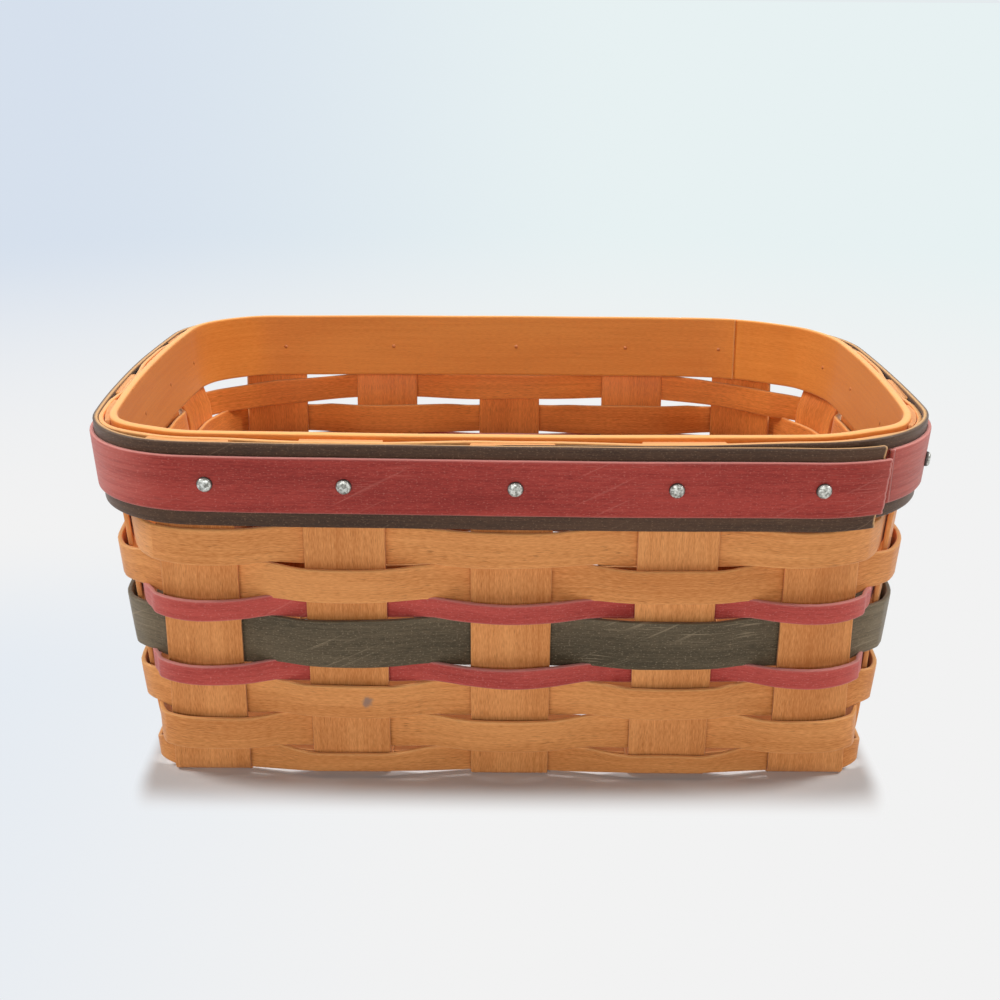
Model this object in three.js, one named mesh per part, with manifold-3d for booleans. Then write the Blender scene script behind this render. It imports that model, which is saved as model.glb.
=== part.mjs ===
// Open woven splint basket. Wide flat uprights cross in the base and stand up as the walls, eight rows of
// weavers go round them, and a rim of two bands and a trim strip is tacked through every upright.
// Millimetres, +Z up, the front faces -Y. The origin is on the ground under the middle of the outline.
import * as THREE from 'three';
import { mergeVertices } from 'three/addons/utils/BufferGeometryUtils.js';
import Module from 'manifold-3d';

// Wall, measured to the middle of the uprights' thickness at the middle of each side
const BASE_LENGTH = 171.5;
const BASE_WIDTH = 124.5;
const RIM_LENGTH = 197.6;
const RIM_WIDTH = 141;
const RIM_HEIGHT = 88.7;
// How far the middle of a side stands out from its ends, and how the corners are rounded: small at the base,
// and wide and unequal at the rim
const BASE_BOW = 0.3;
const RIM_LONG_BOW = 3.2;
const RIM_SHORT_BOW = 4.7;
const BASE_CORNER_RADIUS = 6;
const FRONT_RIGHT_RADIUS = 31;
const BACK_RIGHT_RADIUS = 40;
const BACK_LEFT_RADIUS = 26;
const FRONT_LEFT_RADIUS = 25;
// How far the short sides belly out halfway up, and the straight pieces that follow it
const SIDE_BELLY = 1.5;
const WALL_STEPS = 6;

// Uprights: their splint, the fold at the base and the top end below the rim
const UPRIGHT_WIDTH = 19;
const UPRIGHT_THICKNESS = 1.3;
const FOLD_RADIUS = 1;
const UPRIGHT_TOP_DROP = 1;
// How far a side's last upright stands in from the next side, at the base and at the rim: the one that draws
// it in more counts. The upright before it stands at a share of its place.
const LONG_BASE_INSET = 12.15;
const LONG_RIM_INSET = 25.2;
const LONG_INNER_SHARE = 0.527;
const SHORT_BASE_INSET = 18.75;
const SHORT_RIM_INSET = 27;
const SHORT_INNER_SHARE = 0.368;

// Weavers: heights of the strips in proportion to each other, how far each kind arches off the uprights that
// it passes outside, and the looser fit of the rows on the back. On the front the rows fill the wall from the
// bottom row's start to a clearance below the outer band.
const WEAVER_THICKNESS = 1.2;
const BOTTOM_ROW_START = 1.8;
const TOP_ROW_CLEARANCE = 1.4;
const ROW_GAP = 0.3;
const BACK_ROW_GAP = 0.75;
const NARROW_HEIGHT = 6.1;
const NATURAL_HEIGHT = 9;
const BACK_TOP_ROW_HEIGHT = 7.6;
const RED_HEIGHT = 4.3;
const GREEN_HEIGHT = 12.4;
const NATURAL_ARCH = 0.8;
const RED_ARCH = 3.4;
const INSIDE_ARCH = 0.3;

// Rim bands and trim strip, and how much lower the layers outside the inner band stand on the back
const INNER_BAND_HEIGHT = 18.4;
const INNER_BAND_THICKNESS = 2;
const OUTER_BAND_HEIGHT = 20.3;
const BACK_OUTER_BAND_HEIGHT = 17;
const OUTER_BAND_THICKNESS = 1.3;
const TRIM_HEIGHT = 13.5;
const TRIM_THICKNESS = 0.8;
const TRIM_DROP = 2.9;
const TOP_WEAVER_HEIGHT = 17.5;
const TOP_WEAVER_DROP = 0.3;
const BACK_RIM_DROP = 1.1;

// Lap of the outer band, as places on the front: its end climbs over its own start, which is pared thin, and
// springs a little off it. The trim goes with it, and starts where it ends.
const LAP_RAMP_START = -14;
const LAP_START = -4;
const LAP_FULL = 45;
const LAP_END = 82;
const LAP_TIP = 0.4;
const LAP_SPRING = 1.1;
const TRIM_START = 85.3;
const TRIM_END = 82.8;

// Scarf of the inner band, as places on the back: its two ends are pared thin and lie on each other
const SCARF_FROM = -70;
const SCARF_TO = -52;
const SCARF_TIP = 0.4;
const SCARF_SHOULDER = 1;

// Tacks: head, shank, height below the rim, and how far each stands from the middle of its upright
const TACK_HEAD_RADIUS = 1.65;
const TACK_HEAD_HEIGHT = 0.8;
const TACK_CROWN_RADIUS = 1.3;
const TACK_CROWN_HEIGHT = 0.6;
const TACK_SHANK_RADIUS = 0.55;
const TACK_TIP_OUT = 0.2;
const TACK_DROP = 9.5;
const TACK_SIDES = 6;
const FRONT_TACK_SHIFTS = [4.4, 1, 0.7, -2, -4.3];
const BACK_TACK_SHIFTS = [7.5, 2.6, -2, -2.4, -3.5];
const RIGHT_TACK_SHIFTS = [-4.5, -4, -0.5, -1.5];
const LEFT_TACK_SHIFTS = [1.5, 0.5, -0.5, -1.5];

// Gaps left between pieces that touch, and between a shank and its hole
const FIT_GAP = 0.3;
const HOLE_GAP = 0.25;
// A hole is drilled this many shank lengths long, so that it clears every layer of the rim.
const DRILL_LENGTHS = 3;

const NATURAL_COLOR = 0xcf9054;
const INNER_COLOR = 0xc98a4c;
const RED_COLOR = 0x9c423c;
const GREEN_COLOR = 0x55513f;
const BAND_COLOR = 0x4d4436;
const TACK_COLOR = 0xb4b4aa;
const WOOD_FINISH = { roughness: 0.6, metalness: 0 };
const TACK_FINISH = { roughness: 0.45, metalness: 0.9 };

// Places that follow from the sizes above, as distances out from the middle of the wall
const WEAVE_OFFSET = UPRIGHT_THICKNESS / 2 + FIT_GAP + WEAVER_THICKNESS / 2;
const BAND_SEAT = WEAVE_OFFSET + WEAVER_THICKNESS / 2 + FIT_GAP;
const TRIM_SEAT = BAND_SEAT + OUTER_BAND_THICKNESS + FIT_GAP;
const TACK_SEAT = TRIM_SEAT + TRIM_THICKNESS + FIT_GAP;
const TACK_TIP = -BAND_SEAT - INNER_BAND_THICKNESS - TACK_TIP_OUT;

// The four sides in turn, seen from above
const SIDES = [
  { name: 'front', along: new THREE.Vector2(1, 0), out: new THREE.Vector2(0, -1), long: true },
  { name: 'right', along: new THREE.Vector2(0, 1), out: new THREE.Vector2(1, 0), long: false },
  { name: 'back', along: new THREE.Vector2(-1, 0), out: new THREE.Vector2(0, 1), long: true },
  { name: 'left', along: new THREE.Vector2(0, -1), out: new THREE.Vector2(-1, 0), long: false },
];
// Radius at the rim of the corner after each side
const RIM_CORNERS = [FRONT_RIGHT_RADIUS, BACK_RIGHT_RADIUS, BACK_LEFT_RADIUS, FRONT_LEFT_RADIUS];
const [FRONT, RIGHT, BACK, LEFT] = SIDES.keys();
const LONG_END = Math.min(BASE_LENGTH / 2 - LONG_BASE_INSET, RIM_LENGTH / 2 - LONG_RIM_INSET);
const SHORT_END = Math.min(BASE_WIDTH / 2 - SHORT_BASE_INSET, RIM_WIDTH / 2 - SHORT_RIM_INSET);
const LONG_INNER = LONG_END * LONG_INNER_SHARE;
const SHORT_INNER = SHORT_END * SHORT_INNER_SHARE;
const LONG_PLACES = [-LONG_END, -LONG_INNER, 0, LONG_INNER, LONG_END];
const SHORT_PLACES = [-SHORT_END, -SHORT_INNER, SHORT_INNER, SHORT_END];
const TACK_SHIFTS = [FRONT_TACK_SHIFTS, RIGHT_TACK_SHIFTS, BACK_TACK_SHIFTS, LEFT_TACK_SHIFTS];
const CORNER_SHARES = [0.2, 0.4, 0.6, 0.8];
const placesOn = (side) => (SIDES[side].long ? LONG_PLACES : SHORT_PLACES);

// One half of a side and the corner at its end at height z, in that side's own (along, out) plane: the side
// is an arc through its middle, and the corner a smaller arc that touches its arc and its neighbour's.
function sideShape(side, isFarHalf, z) {
  const share = z / RIM_HEIGHT;
  const belly = 4 * SIDE_BELLY * share * (1 - share);
  const length = THREE.MathUtils.lerp(BASE_LENGTH, RIM_LENGTH, share) / 2 + belly;
  const width = THREE.MathUtils.lerp(BASE_WIDTH, RIM_WIDTH, share) / 2;
  const longBow = THREE.MathUtils.lerp(BASE_BOW, RIM_LONG_BOW, share);
  const shortBow = THREE.MathUtils.lerp(BASE_BOW, RIM_SHORT_BOW, share);
  const rimCorner = RIM_CORNERS[isFarHalf ? side : (side + SIDES.length - 1) % SIDES.length];
  // The corners open faster near the base than near the rim.
  const corner = THREE.MathUtils.lerp(BASE_CORNER_RADIUS, rimCorner, share * (2 - share));
  const longRadius = (length ** 2 + longBow ** 2) / (2 * longBow);
  const shortRadius = (width ** 2 + shortBow ** 2) / (2 * shortBow);
  const isLong = SIDES[side].long;
  const radius = isLong ? longRadius : shortRadius;
  const nextRadius = isLong ? shortRadius : longRadius;
  const centre = new THREE.Vector2(0, (isLong ? width : length) - radius);
  const nextCentre = new THREE.Vector2((isLong ? length : width) - nextRadius, 0);
  const gap = nextCentre.clone().sub(centre);
  const apart = gap.length();
  const reach = ((radius - corner) ** 2 - (nextRadius - corner) ** 2 + apart ** 2) / (2 * apart);
  const rise = Math.sqrt((radius - corner) ** 2 - reach ** 2);
  const unit = gap.divideScalar(apart);
  const cornerCentre = new THREE.Vector2(
    centre.x + unit.x * reach + unit.y * rise,
    centre.y + unit.y * reach - unit.x * rise,
  );
  const cornerTurn = Math.atan2(cornerCentre.x - centre.x, cornerCentre.y - centre.y);
  return { radius, centre, corner, cornerCentre, cornerTurn };
}

// Point of the wall and its level normal at `place`, which is measured along the wall from the middle of a
// side and runs on into the corner.
function sidePoint(side, place, z) {
  const shape = sideShape(side, place > 0, z);
  const beyond = Math.abs(place) - shape.radius * shape.cornerTurn;
  const isOnCorner = beyond > 0;
  const turn = isOnCorner ? shape.cornerTurn + beyond / shape.corner : Math.abs(place) / shape.radius;
  const centre = isOnCorner ? shape.cornerCentre : shape.centre;
  const radius = isOnCorner ? shape.corner : shape.radius;
  const along = Math.sign(place) * (centre.x + radius * Math.sin(turn));
  const out = centre.y + radius * Math.cos(turn);
  const normal = toPlan(side, Math.sign(place) * Math.sin(turn), Math.cos(turn));
  return { point: toPlan(side, along, out), normal };
}

// Point of the corner after a side, a share of the way from the side's last upright to the next side's first.
function cornerPoint(side, share, z) {
  const next = (side + 1) % SIDES.length;
  const start = sidePoint(side, lastEdge(side), z).normal.angle();
  const turn = sidePoint(next, -lastEdge(next), z).normal.angle() - start;
  const angle = start + share * (turn < 0 ? turn + 2 * Math.PI : turn);
  const normal = new THREE.Vector2(Math.cos(angle), Math.sin(angle));
  const shape = sideShape(side, true, z);
  const centre = toPlan(side, shape.cornerCentre.x, shape.cornerCentre.y);
  return { point: centre.addScaledVector(normal, shape.corner), normal };
}

function toPlan(side, along, out) {
  const plan = SIDES[side].along.clone().multiplyScalar(along);
  return plan.addScaledVector(SIDES[side].out, out);
}

function lastEdge(side) {
  return Math.max(...placesOn(side)) + UPRIGHT_WIDTH / 2;
}

// A stop is a place round the wall: on a side or in the corner after it.
function stopPoint(stop, z) {
  if (stop.share === undefined) return sidePoint(stop.side, stop.place, z);
  return cornerPoint(stop.side, stop.share, z);
}

// Point at a height of the wall, moved out along the wall's own normal, which leans with it.
function wallPoint(stop, z, offset) {
  const here = stopPoint(stop, z);
  const step = stopPoint(stop, z + 1).point.sub(here.point);
  const lean = step.dot(here.normal);
  const normal = new THREE.Vector3(here.normal.x, here.normal.y, -lean).normalize();
  const point = new THREE.Vector3(here.point.x, here.point.y, z).addScaledVector(normal, offset);
  return { point, normal };
}

// Closed body through sections, each with its corners in turn along one face and back along the other; a ring
// joins its last section to its first.
function sweepSections(sections, isRing) {
  const positions = sections.flat().flatMap((corner) => corner.toArray());
  const corners = sections[0].length;
  const faces = [];
  const addQuad = (first, second, third, fourth) => {
    faces.push(first, second, third);
    faces.push(first, third, fourth);
  };
  const spans = isRing ? sections.length : sections.length - 1;
  for (let span = 0; span < spans; span += 1) {
    const here = span * corners;
    const there = ((span + 1) % sections.length) * corners;
    for (let corner = 0; corner < corners; corner += 1) {
      const next = (corner + 1) % corners;
      addQuad(here + corner, there + corner, there + next, here + next);
    }
  }
  if (!isRing) {
    const end = (sections.length - 1) * corners;
    for (let corner = 0; corner < corners / 2 - 1; corner += 1) {
      const facing = corners - 1 - corner;
      addQuad(corner, corner + 1, facing - 1, facing);
      addQuad(end + facing, end + facing - 1, end + corner + 1, end + corner);
    }
  }
  const geometry = new THREE.BufferGeometry();
  geometry.setAttribute('position', new THREE.Float32BufferAttribute(positions, 3));
  geometry.setIndex(faces);
  return geometry;
}

// A height that changes evenly from the front of the rim to its back
function heightBetween(front, back, stop) {
  const share = stopPoint(stop, RIM_HEIGHT).point.y / RIM_WIDTH + 0.5;
  return THREE.MathUtils.lerp(front, back, THREE.MathUtils.clamp(share, 0, 1));
}

// Section of a strip on the wall, with its faces at the offsets `inner` and `outer`. Its edges give their
// heights on the front and on the back.
function stripSection(stop, edges, inner, outer) {
  const low = heightBetween(edges.front.low, edges.back.low, stop);
  const high = heightBetween(edges.front.high, edges.back.high, stop);
  return [
    wallPoint(stop, low, inner).point,
    wallPoint(stop, low, outer).point,
    wallPoint(stop, high, outer).point,
    wallPoint(stop, high, inner).point,
  ];
}

function level(low, high) {
  return { front: { low, high }, back: { low, high } };
}

// One row: outside one upright and inside the next, all the way round. It touches an upright near its edges,
// arches over its middle and crosses the wall halfway to the next one.
function weaverSections(edges, startsOutside, outsideArch, insideArch) {
  const half = WEAVER_THICKNESS / 2;
  const sections = [];
  const add = (stop, offset) => sections.push(stripSection(stop, edges, offset - half, offset + half));
  let sign = startsOutside ? 1 : -1;
  SIDES.forEach((_, side) => {
    const places = placesOn(side);
    places.forEach((place, index) => {
      const arch = sign > 0 ? outsideArch : insideArch;
      const atEdge = sign * (WEAVE_OFFSET + arch / 2);
      add({ side, place: place - UPRIGHT_WIDTH / 2 }, atEdge);
      add({ side, place }, sign * (WEAVE_OFFSET + arch));
      add({ side, place: place + UPRIGHT_WIDTH / 2 }, atEdge);
      if (index < places.length - 1) {
        add({ side, place: (place + places[index + 1]) / 2 }, 0);
      } else {
        const across = (share) => sign * WEAVE_OFFSET * Math.cos(Math.PI * share);
        CORNER_SHARES.forEach((share) => add({ side, share }, across(share)));
      }
      sign = -sign;
    });
  });
  return sections;
}

// Stops of a rim band all round the wall
function bandStops() {
  return SIDES.flatMap((_, side) => {
    const overUpright = [-UPRIGHT_WIDTH / 2, 0, UPRIGHT_WIDTH / 2];
    const places = placesOn(side).flatMap((place) => overUpright.map((step) => place + step));
    const onSide = places.map((place) => ({ side, place }));
    const onCorner = CORNER_SHARES.map((share) => ({ side, share }));
    return [...onSide, ...onCorner];
  });
}

// The inner band starts and ends on the back. Its start lies nearest the inside, on top of its pared end.
function innerBandSections() {
  const edges = level(RIM_HEIGHT - INNER_BAND_HEIGHT, RIM_HEIGHT);
  const onBack = (place) => ({ side: BACK, place });
  const startThickness = ({ place }) => THREE.MathUtils.mapLinear(
    place, SCARF_FROM, SCARF_TO, SCARF_TIP, INNER_BAND_THICKNESS - FIT_GAP - SCARF_TIP,
  );
  const inner = -BAND_SEAT - INNER_BAND_THICKNESS;
  const section = (stop, paredInside, paredOutside) => (
    stripSection(stop, edges, inner + paredInside, -BAND_SEAT - paredOutside)
  );
  const stops = bandStops();
  const first = stops.findIndex(({ side, place }) => side === BACK && place > SCARF_FROM);
  const inTurn = [...stops.slice(first), ...stops.slice(0, first)];
  const isInScarf = ({ side, place }) => side === BACK && place > SCARF_FROM && place < SCARF_TO;
  const scarf = [onBack(SCARF_FROM), ...inTurn.filter(isInScarf), onBack(SCARF_TO)];
  const whole = inTurn.filter((stop) => !isInScarf(stop));
  return [
    ...scarf.map((stop) => section(stop, 0, INNER_BAND_THICKNESS - startThickness(stop))),
    section(onBack(SCARF_TO + SCARF_SHOULDER), 0, 0),
    ...whole.map((stop) => section(stop, 0, 0)),
    section(onBack(SCARF_FROM - SCARF_SHOULDER), 0, 0),
    ...scarf.map((stop) => section(stop, startThickness(stop) + FIT_GAP, 0)),
  ];
}

// Thickness of the outer band's start, which grows from its tip
function lapThickness(place) {
  const thickness = THREE.MathUtils.mapLinear(place, LAP_START, LAP_FULL, LAP_TIP, OUTER_BAND_THICKNESS);
  return THREE.MathUtils.clamp(thickness, LAP_TIP, OUTER_BAND_THICKNESS);
}

// How far the end of the outer band stands off its seat on the front
function lapLift(side, place) {
  if (side !== FRONT) return 0;
  const climb = THREE.MathUtils.mapLinear(place, LAP_RAMP_START, LAP_START, 0, 1);
  const spring = THREE.MathUtils.mapLinear(place, LAP_FULL, LAP_END, 0, LAP_SPRING);
  return THREE.MathUtils.clamp(climb, 0, 1) * (lapThickness(place) + FIT_GAP) + Math.max(spring, 0);
}

// A strip that starts at a place on the front, goes once round and ends on the lap.
function lappedSections(edges, seat, thickness, start, end) {
  const section = (stop, move, depth) => stripSection(stop, edges, seat + move, seat + move + depth);
  const startThickness = (place) => Math.min(lapThickness(place), thickness);
  const stops = bandStops();
  const isOnFront = ({ side, share }) => side === FRONT && share === undefined;
  const uprightPlaces = stops.filter(isOnFront).map(({ place }) => place);
  const lapPlaces = [...uprightPlaces, LAP_RAMP_START, LAP_START, LAP_FULL];
  lapPlaces.sort((left, right) => left - right);
  const firstPlaces = [start, ...lapPlaces.filter((place) => place > start)];
  const lastPlaces = [...lapPlaces.filter((place) => place < end), end];
  const round = stops.filter((stop) => !isOnFront(stop));
  return [
    ...firstPlaces.map((place) => section({ side: FRONT, place }, 0, startThickness(place))),
    ...round.map((stop) => section(stop, 0, thickness)),
    ...lastPlaces.map((place) => section({ side: FRONT, place }, lapLift(FRONT, place), thickness)),
  ];
}

// Upright: down one wall, folded under, woven across the base and up the opposite wall. `rises` says, for
// each strip that it crosses in turn, whether it passes over it.
function uprightSections(side, place, crossPlaces, rises) {
  const opposite = side + 2;
  const half = UPRIGHT_THICKNESS / 2;
  const lowLevel = half;
  const highLevel = lowLevel + UPRIGHT_THICKNESS + FIT_GAP;
  const wallFoot = lowLevel + FOLD_RADIUS;
  const wallTop = RIM_HEIGHT - UPRIGHT_TOP_DROP;
  const across = [place + UPRIGHT_WIDTH / 2, place, place - UPRIGHT_WIDTH / 2];
  const wallSection = (onSide, z) => {
    const stops = across.map((line) => ({ side: onSide, place: onSide === side ? line : -line }));
    const inner = stops.map((stop) => wallPoint(stop, z, -half).point);
    const outer = stops.map((stop) => wallPoint(stop, z, half).point);
    return [...inner, ...outer.reverse()];
  };
  // Sections of the fold and the base lie `out` from the middle of the part, on one side's half of it.
  const lowSection = (onSide, out, z, tilt) => {
    const lean = new THREE.Vector3(
      SIDES[onSide].out.x * Math.sin(tilt) * half,
      SIDES[onSide].out.y * Math.sin(tilt) * half,
      -Math.cos(tilt) * half,
    );
    const points = across.map((line) => {
      const plan = toPlan(side, line, 0).addScaledVector(SIDES[onSide].out, out);
      return new THREE.Vector3(plan.x, plan.y, z);
    });
    const inner = points.map((point) => point.clone().sub(lean));
    const outer = points.map((point) => point.clone().add(lean));
    return [...inner, ...outer.reverse()];
  };
  const reach = Math.min(...across.map((line) => sidePoint(side, line, wallFoot).point.dot(SIDES[side].out)));
  const halfwayOut = reach - FOLD_RADIUS * (1 - Math.SQRT1_2);
  const halfwayUp = wallFoot - FOLD_RADIUS * Math.SQRT1_2;
  const foldSections = (onSide) => [
    lowSection(onSide, halfwayOut, halfwayUp, Math.PI / 4),
    lowSection(onSide, reach - FOLD_RADIUS, lowLevel, 0),
  ];
  const crossings = crossPlaces.flatMap((crossPlace, index) => {
    const z = rises[index] ? highLevel : lowLevel;
    const span = [-UPRIGHT_WIDTH / 2, UPRIGHT_WIDTH / 2];
    return span.map((edge) => lowSection(side, -(crossPlace + edge), z, 0));
  });
  const wallSections = (onSide) => Array.from({ length: WALL_STEPS + 1 }, (_, step) => (
    wallSection(onSide, THREE.MathUtils.lerp(wallTop, wallFoot, step / WALL_STEPS))
  ));
  return [
    ...wallSections(side),
    ...foldSections(side),
    ...crossings,
    ...foldSections(opposite).reverse(),
    ...wallSections(opposite).reverse(),
  ];
}

// Tacks: places, solids and the holes that they need
const tackPlaces = SIDES.flatMap(({ name }, side) => placesOn(side).map((place, index) => ({
  name: `tack_${name}_${index + 1}`,
  side,
  upright: index,
  place: place + TACK_SHIFTS[side][index],
})));

function tackSeat({ side, place }) {
  const offset = TACK_SEAT + lapLift(side, place);
  const seat = wallPoint({ side, place }, RIM_HEIGHT - TACK_DROP, offset);
  return { ...seat, shank: offset - TACK_TIP };
}

function placeOnSeat(object, seat) {
  object.position.copy(seat.point);
  object.quaternion.setFromUnitVectors(new THREE.Vector3(0, 1, 0), seat.normal);
  return object;
}

function tackGeometry(shank) {
  const profile = [
    new THREE.Vector2(0, -shank),
    new THREE.Vector2(TACK_SHANK_RADIUS, -shank),
    new THREE.Vector2(TACK_SHANK_RADIUS, 0),
    new THREE.Vector2(TACK_HEAD_RADIUS, 0),
    new THREE.Vector2(TACK_CROWN_RADIUS, TACK_CROWN_HEIGHT),
    new THREE.Vector2(0, TACK_HEAD_HEIGHT),
  ];
  return new THREE.LatheGeometry(profile, TACK_SIDES);
}

function holeGeometry(tack) {
  const seat = tackSeat(tack);
  const radius = TACK_SHANK_RADIUS + HOLE_GAP;
  const length = DRILL_LENGTHS * seat.shank;
  const drill = new THREE.Mesh(new THREE.CylinderGeometry(radius, radius, length, TACK_SIDES));
  placeOnSeat(drill, seat).updateMatrix();
  return drill.geometry.applyMatrix4(drill.matrix);
}

const wasm = await Module();
wasm.setup();

function toSolid(geometry) {
  const bare = geometry.clone();
  bare.deleteAttribute('normal');
  bare.deleteAttribute('uv');
  const merged = mergeVertices(bare);
  const vertProperties = new Float32Array(merged.getAttribute('position').array);
  const triVerts = new Uint32Array(merged.getIndex().array);
  return new wasm.Manifold(new wasm.Mesh({ numProp: 3, vertProperties, triVerts }));
}

function drilled(geometry, tacks) {
  const solid = tacks.reduce((left, tack) => left.subtract(toSolid(holeGeometry(tack))), toSolid(geometry));
  const mesh = solid.getMesh();
  const result = new THREE.BufferGeometry();
  result.setAttribute('position', new THREE.Float32BufferAttribute(mesh.vertProperties, 3));
  result.setIndex([...mesh.triVerts]);
  return result;
}

const basket = new THREE.Group();

function addPiece(name, geometry, color, finish = WOOD_FINISH) {
  const mesh = new THREE.Mesh(geometry, new THREE.MeshStandardMaterial({ color, ...finish }));
  mesh.name = name;
  basket.add(mesh);
  return mesh;
}

function tacksOf(side, upright) {
  return tackPlaces.filter((tack) => tack.side === side && tack.upright === upright);
}

// Uprights, woven over and under each other in the base. The places of a side mirror each other, so one list
// serves for the strips crossed from either end.
LONG_PLACES.forEach((place, index) => {
  const rises = SHORT_PLACES.map((_, cross) => (index + cross) % 2 === 1);
  const geometry = sweepSections(uprightSections(FRONT, place, SHORT_PLACES, rises), false);
  const tacks = [...tacksOf(FRONT, index), ...tacksOf(BACK, LONG_PLACES.length - 1 - index)];
  addPiece(`upright_front_back_${index + 1}`, drilled(geometry, tacks), NATURAL_COLOR);
});
SHORT_PLACES.forEach((place, index) => {
  const rises = LONG_PLACES.map((_, cross) => (index + cross) % 2 === 0);
  const geometry = sweepSections(uprightSections(RIGHT, place, LONG_PLACES, rises), false);
  const tacks = [...tacksOf(RIGHT, index), ...tacksOf(LEFT, SHORT_PLACES.length - 1 - index)];
  addPiece(`upright_left_right_${index + 1}`, drilled(geometry, tacks), NATURAL_COLOR);
});

// Rows of weavers from the ground up, each starting on the other side of the first upright than the row below
// it. On the back the rows are looser and the top row is narrower.
const ROWS = [
  { name: 'row_1_narrow', height: NARROW_HEIGHT, arch: NATURAL_ARCH, color: NATURAL_COLOR },
  { name: 'row_2_natural', height: NATURAL_HEIGHT, arch: NATURAL_ARCH, color: NATURAL_COLOR },
  { name: 'row_3_natural', height: NATURAL_HEIGHT, arch: NATURAL_ARCH, color: NATURAL_COLOR },
  { name: 'row_4_red', height: RED_HEIGHT, arch: RED_ARCH, color: RED_COLOR },
  { name: 'row_5_green', height: GREEN_HEIGHT, arch: NATURAL_ARCH, color: GREEN_COLOR },
  { name: 'row_6_red', height: RED_HEIGHT, arch: RED_ARCH, color: RED_COLOR },
  { name: 'row_7_natural', height: NATURAL_HEIGHT, arch: NATURAL_ARCH, color: NATURAL_COLOR },
  {
    name: 'row_8_natural',
    height: NATURAL_HEIGHT,
    backHeight: BACK_TOP_ROW_HEIGHT,
    arch: NATURAL_ARCH,
    color: NATURAL_COLOR,
  },
];
const topRowHigh = RIM_HEIGHT - OUTER_BAND_HEIGHT - TOP_ROW_CLEARANCE;
const rowRoom = topRowHigh - BOTTOM_ROW_START - ROW_GAP * (ROWS.length - 1);
const rowScale = rowRoom / ROWS.reduce((sum, { height }) => sum + height, 0);
let low = BOTTOM_ROW_START;
let backLow = BOTTOM_ROW_START;
ROWS.forEach(({ name, height, backHeight = height, arch, color }, index) => {
  const startsOutside = index % 2 === 1;
  const edges = {
    front: { low, high: low + height * rowScale },
    back: { low: backLow, high: backLow + backHeight * rowScale },
  };
  const sections = weaverSections(edges, startsOutside, arch, INSIDE_ARCH);
  addPiece(name, sweepSections(sections, true), color);
  low = edges.front.high + ROW_GAP;
  backLow = edges.back.high + BACK_ROW_GAP;
});

// Rim: top weaver between the bands, inner band, outer band, trim strip
const topWeaverHigh = RIM_HEIGHT - TOP_WEAVER_DROP;
const topWeaverEdges = {
  front: { low: topWeaverHigh - TOP_WEAVER_HEIGHT, high: topWeaverHigh },
  back: { low: topWeaverHigh - TOP_WEAVER_HEIGHT, high: topWeaverHigh - BACK_RIM_DROP },
};
const topWeaver = weaverSections(topWeaverEdges, ROWS.length % 2 === 1, 0, 0);
addPiece('rim_top_weaver', drilled(sweepSections(topWeaver, true), tackPlaces), NATURAL_COLOR);
addPiece('rim_inner_band', drilled(sweepSections(innerBandSections(), false), tackPlaces), INNER_COLOR);
const backBandHigh = RIM_HEIGHT - BACK_RIM_DROP;
const outerBandEdges = {
  front: { low: RIM_HEIGHT - OUTER_BAND_HEIGHT, high: RIM_HEIGHT },
  back: { low: backBandHigh - BACK_OUTER_BAND_HEIGHT, high: backBandHigh },
};
const outerBand = lappedSections(outerBandEdges, BAND_SEAT, OUTER_BAND_THICKNESS, LAP_START, LAP_END);
addPiece('rim_outer_band', drilled(sweepSections(outerBand, false), tackPlaces), BAND_COLOR);
const trimHigh = RIM_HEIGHT - TRIM_DROP;
const trimEdges = level(trimHigh - TRIM_HEIGHT, trimHigh);
const trim = lappedSections(trimEdges, TRIM_SEAT, TRIM_THICKNESS, TRIM_START, TRIM_END);
addPiece('rim_red_trim', drilled(sweepSections(trim, false), tackPlaces), RED_COLOR);

tackPlaces.forEach((tack) => {
  const seat = tackSeat(tack);
  const mesh = addPiece(tack.name, tackGeometry(seat.shank), TACK_COLOR, TACK_FINISH);
  placeOnSeat(mesh, seat);
});

export default basket;
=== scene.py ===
"""Open woven splint basket: fine strips, wood and metal finishes, light and camera round the frame.

The wall, the weave and the rim follow the same sizes and formulas as the part's solids. Lengths are in
millimetres until a mesh is made, and in metres from there on.
"""

import itertools
import math
import random
from bisect import bisect_right
from collections import namedtuple

import bpy
from mathutils import Matrix, Vector


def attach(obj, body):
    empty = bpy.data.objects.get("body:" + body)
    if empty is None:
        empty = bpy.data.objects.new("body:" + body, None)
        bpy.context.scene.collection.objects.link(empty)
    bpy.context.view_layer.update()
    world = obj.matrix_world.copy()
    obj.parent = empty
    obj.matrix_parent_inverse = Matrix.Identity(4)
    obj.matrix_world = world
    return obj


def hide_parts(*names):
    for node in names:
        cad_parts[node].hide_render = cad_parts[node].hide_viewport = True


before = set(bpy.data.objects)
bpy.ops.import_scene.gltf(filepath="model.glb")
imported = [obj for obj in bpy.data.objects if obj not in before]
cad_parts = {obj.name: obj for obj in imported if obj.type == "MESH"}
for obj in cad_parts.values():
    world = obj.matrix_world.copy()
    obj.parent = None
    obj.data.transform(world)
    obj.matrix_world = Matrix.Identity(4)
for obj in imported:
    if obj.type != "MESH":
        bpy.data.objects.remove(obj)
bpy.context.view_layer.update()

MM = 0.001
SEED = 7
GRAIN_SPACING = 1000

# Wall, measured to the middle of the uprights' thickness at the middle of each side
BASE_LENGTH = 171.5
BASE_WIDTH = 124.5
RIM_LENGTH = 197.6
RIM_WIDTH = 141
RIM_HEIGHT = 88.7
BASE_BOW = 0.3
RIM_LONG_BOW = 3.2
RIM_SHORT_BOW = 4.7
BASE_CORNER_RADIUS = 6
SIDE_BELLY = 1.5
# Radius at the rim of the corner after each side
RIM_CORNERS = [31, 40, 26, 25]

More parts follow.
